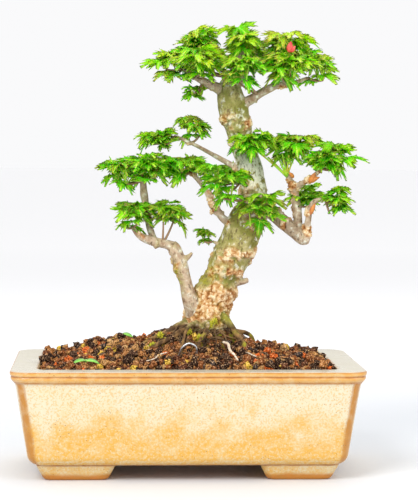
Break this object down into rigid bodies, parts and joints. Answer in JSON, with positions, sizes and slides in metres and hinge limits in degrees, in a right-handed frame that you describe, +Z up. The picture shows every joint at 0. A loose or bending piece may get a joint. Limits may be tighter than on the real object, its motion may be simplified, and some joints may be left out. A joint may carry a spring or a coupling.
{
  "type": "bonsai tree in a pot",
  "caption": "Small-leaved maple bonsai with a leaning trunk and layered leaf pads, growing in a rectangular glazed stoneware pot with a flat lip and corner feet.",
  "frame": {"origin": "centre of the underside, on the surface the pot stands on", "axes": "+Z up the tree, +X along the pot's length towards the side the trunk leans to, -Y towards the viewer's front"},
  "size_m": [0.317, 0.2, 0.409],
  "materials": {
    "glazed_stoneware": "glossy cream glaze breaking to ochre at the edges",
    "earth": "loose fired-clay and bark granules",
    "screen_plastic": "matt moulded mesh",
    "wire": "bright drawn wire",
    "bark": "weathered grey-green bark with burrs",
    "root_bark": "dry brown root bark",
    "leaf": "fresh crinkled leaves, a soft waxy sheen",
    "seedling_leaf": "tender smooth leaf"
  },
  "bodies": {
    "root": {"pot": "glazed_stoneware", "soil": "earth", "drain_screen_left": "screen_plastic", "drain_screen_right": "screen_plastic", "anchor_wire": "wire", "trunk": "bark", "second_trunk": "bark", "branch_left_low": "bark", "branch_left_riser": "bark", "branch_left_middle": "bark", "branch_left_upper": "bark", "branch_right": "bark", "branch_right_inner": "bark", "branch_right_twig": "bark", "branch_right_outer": "bark", "branch_front": "bark", "branch_back": "bark", "branch_crown_left": "bark", "branch_crown_right": "bark", "branch_crown_leader": "bark", "branch_crown_back": "bark", "root_left": "root_bark", "root_left_front": "root_bark", "root_right": "root_bark", "root_right_back": "root_bark", "root_hook": "root_bark", "root_front_left": "root_bark", "root_front": "root_bark", "root_back_left": "root_bark", "root_back_right": "root_bark", "leaves_crown_far_left": "leaf", "leaves_crown_front_left": "leaf", "leaves_crown_top_left": "leaf", "leaves_crown_back_left": "leaf", "leaves_crown_front": "leaf", "leaves_crown_top": "leaf", "leaves_crown_back": "leaf", "leaves_crown_front_right": "leaf", "leaves_crown_top_right": "leaf", "leaves_crown_back_right": "leaf", "leaves_crown_far_right": "leaf", "leaves_crown_low_left": "leaf", "leaves_upper_left_tip": "leaf", "leaves_upper_left": "leaf", "leaves_left_tip": "leaf", "leaves_left_front": "leaf", "leaves_left_back": "leaf", "leaves_left_inner": "leaf", "leaves_low_left_tip": "leaf", "leaves_low_left": "leaf", "leaves_front": "leaf", "leaves_front_low": "leaf", "leaves_right_inner": "leaf", "leaves_right_top": "leaf", "leaves_right_tip": "leaf", "leaves_right_low": "leaf", "leaves_right_low_tip": "leaf", "leaves_back": "leaf", "leaves_trunk_sprout": "leaf", "seedling": "seedling_leaf"}
  },
  "joints": []
}
